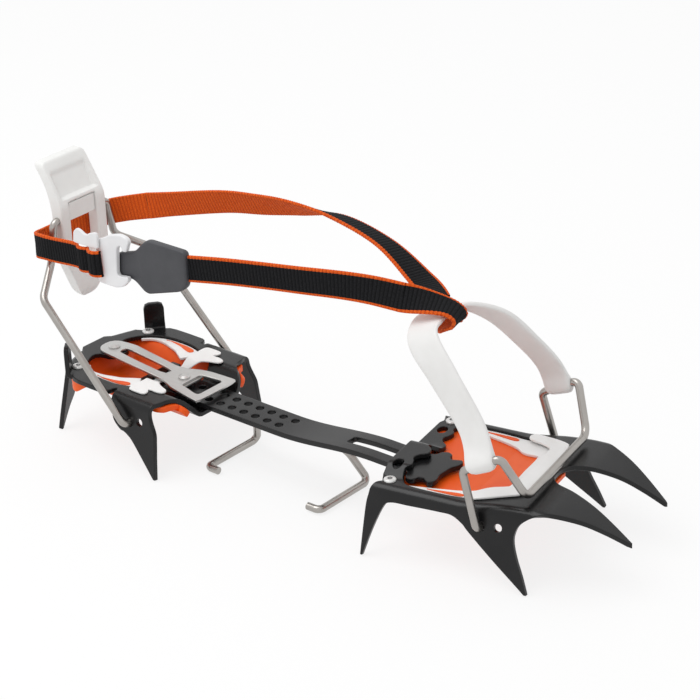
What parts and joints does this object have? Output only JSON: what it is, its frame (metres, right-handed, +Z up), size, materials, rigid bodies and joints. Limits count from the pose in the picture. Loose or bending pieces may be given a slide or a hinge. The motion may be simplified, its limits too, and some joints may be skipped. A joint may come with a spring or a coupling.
{
  "type": "semi-automatic crampon",
  "caption": "Strap-in crampon: folded steel heel and toe sections on a sliding linking bar, wire heel bail with lever, wire toe bail with flexible band, webbing strap and a spare wire bail.",
  "frame": {"origin": "on the ground under the middle of the part's box", "axes": "+X from heel to toe along the linking bar, +Y to the outer side of the foot, +Z up; the points stand on z = 0"},
  "size_m": [0.3746, 0.1244, 0.151],
  "materials": {
    "blackened_steel": "satin black coat on steel sheet",
    "bright_steel": "satin stainless sheet",
    "wire_steel": "drawn stainless wire, warm grey",
    "orange_plastic": "satin orange moulding",
    "white_plastic": "satin white moulding",
    "white_rivet": "pale rivet head",
    "band_rubber": "flexible white moulding",
    "lever_plastic": "light grey moulding",
    "buckle_alloy": "pale cast buckle",
    "tab_plastic": "charcoal moulding",
    "webbing": "orange webbing with a black ribbed face"
  },
  "bodies": {
    "heel_section": {"heel_frame": "blackened_steel", "heel_snow_plate": "orange_plastic", "heel_snow_frame": "white_plastic", "heel_rivets": "white_rivet", "adjuster_rivet": "bright_steel"},
    "adjuster": {"adjuster_spring": "bright_steel", "lock_plate": "bright_steel", "lock_rivet": "white_rivet"},
    "link_bar": {"linking_bar": "blackened_steel", "strap_near_run": "webbing", "strap_far_run": "webbing"},
    "toe_section": {"toe_frame": "blackened_steel", "toe_snow_plate": "orange_plastic", "toe_snow_frame": "white_plastic", "toe_rivets": "white_rivet"},
    "toe_bail": {"toe_bail_wire": "wire_steel", "toe_band": "band_rubber", "strap_toe_loop": "webbing"},
    "heel_bail": {"heel_bail_wire": "wire_steel", "strap_heel_wrap": "webbing", "buckle_hook": "buckle_alloy", "buckle_ladder": "buckle_alloy", "strap_end_tab": "tab_plastic"},
    "heel_lever": {"heel_lever": "lever_plastic", "lever_insert": "white_plastic"},
    "spare_bail": {"spare_toe_bail": "wire_steel"}
  },
  "joints": [
    {"name": "bar_slide", "type": "slide", "parent": "heel_section", "child": "link_bar", "axis": [1, 0, 0], "range_m": [-0.0338, 0.00845], "deforming": ["strap_near_run", "strap_far_run"]},
    {"name": "toe_hinge", "type": "hinge", "parent": "link_bar", "child": "toe_section", "pos_m": [0.06157, -0.01532, 0.041], "axis": [0, 1, 0], "range_deg": [-3, 3], "deforming": ["strap_near_run", "strap_far_run"]},
    {"name": "toe_bail", "type": "hinge", "parent": "toe_section", "child": "toe_bail", "pos_m": [0.11254, 0.00863, 0.03], "axis": [0.2011, -0.9796, 0], "range_deg": [-4, 30], "deforming": ["strap_toe_loop", "strap_near_run", "strap_far_run"]},
    {"name": "adjuster_lift", "type": "hinge", "parent": "heel_section", "child": "adjuster", "pos_m": [-0.14273, -0.01532, 0.0423], "axis": [0, -1, 0], "range_deg": [-1.7, 8], "stiffness_Nm_per_rad": 2, "deforming": ["adjuster_spring"]},
    {"name": "heel_bail", "type": "hinge", "parent": "heel_section", "child": "heel_bail", "pos_m": [-0.09973, -0.01532, 0.0283], "axis": [0, 1, 0], "range_deg": [-40, 20], "deforming": ["strap_heel_wrap", "strap_near_run", "strap_far_run"]},
    {"name": "heel_lever", "type": "hinge", "parent": "heel_bail", "child": "heel_lever", "pos_m": [-0.16873, -0.01532, 0.1205], "axis": [0, -1, 0], "range_deg": [0, 75], "deforming": ["strap_heel_wrap", "strap_near_run", "strap_far_run"]},
    {"name": "spare_slide", "type": "slide", "parent": "heel_section", "child": "spare_bail", "axis": [0, -1, 0], "range_m": [0, 0.1]}
  ]
}
